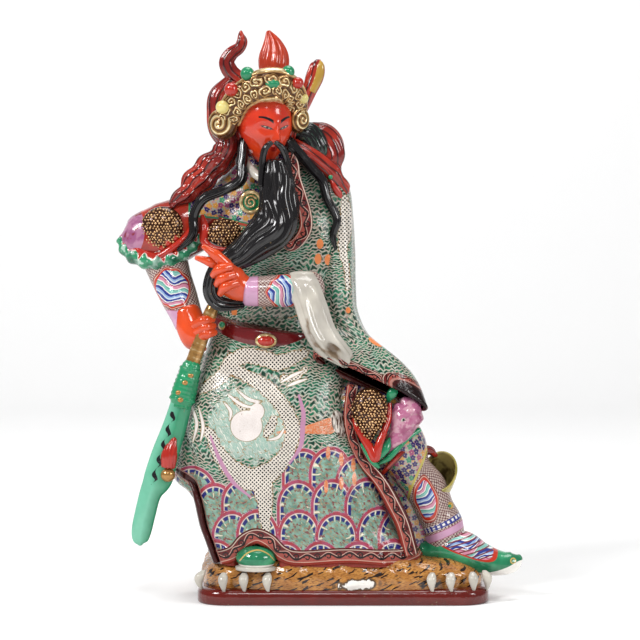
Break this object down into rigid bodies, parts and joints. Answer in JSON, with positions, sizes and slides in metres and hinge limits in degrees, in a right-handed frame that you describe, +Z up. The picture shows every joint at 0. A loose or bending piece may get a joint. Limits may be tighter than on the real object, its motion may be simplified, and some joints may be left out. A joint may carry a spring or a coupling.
{
  "type": "guan yu statue",
  "caption": "Glazed porcelain figure of a seated bearded general in dragon robe and armour, with a long blade, on a low base spread with a tiger skin; an ornament",
  "frame": {"origin": "centre of the base's flat underside", "axes": "+Z up, along the height of the figure; +X to the viewer's right; -Y towards the viewer, the way the robe faces"},
  "size_m": [0.3636, 0.1817, 0.5108],
  "materials": {
    "porcelain_figure": "glossy overglaze enamels on white porcelain"
  },
  "bodies": {
    "root": {"porcelain_figure": "porcelain_figure"}
  },
  "joints": []
}
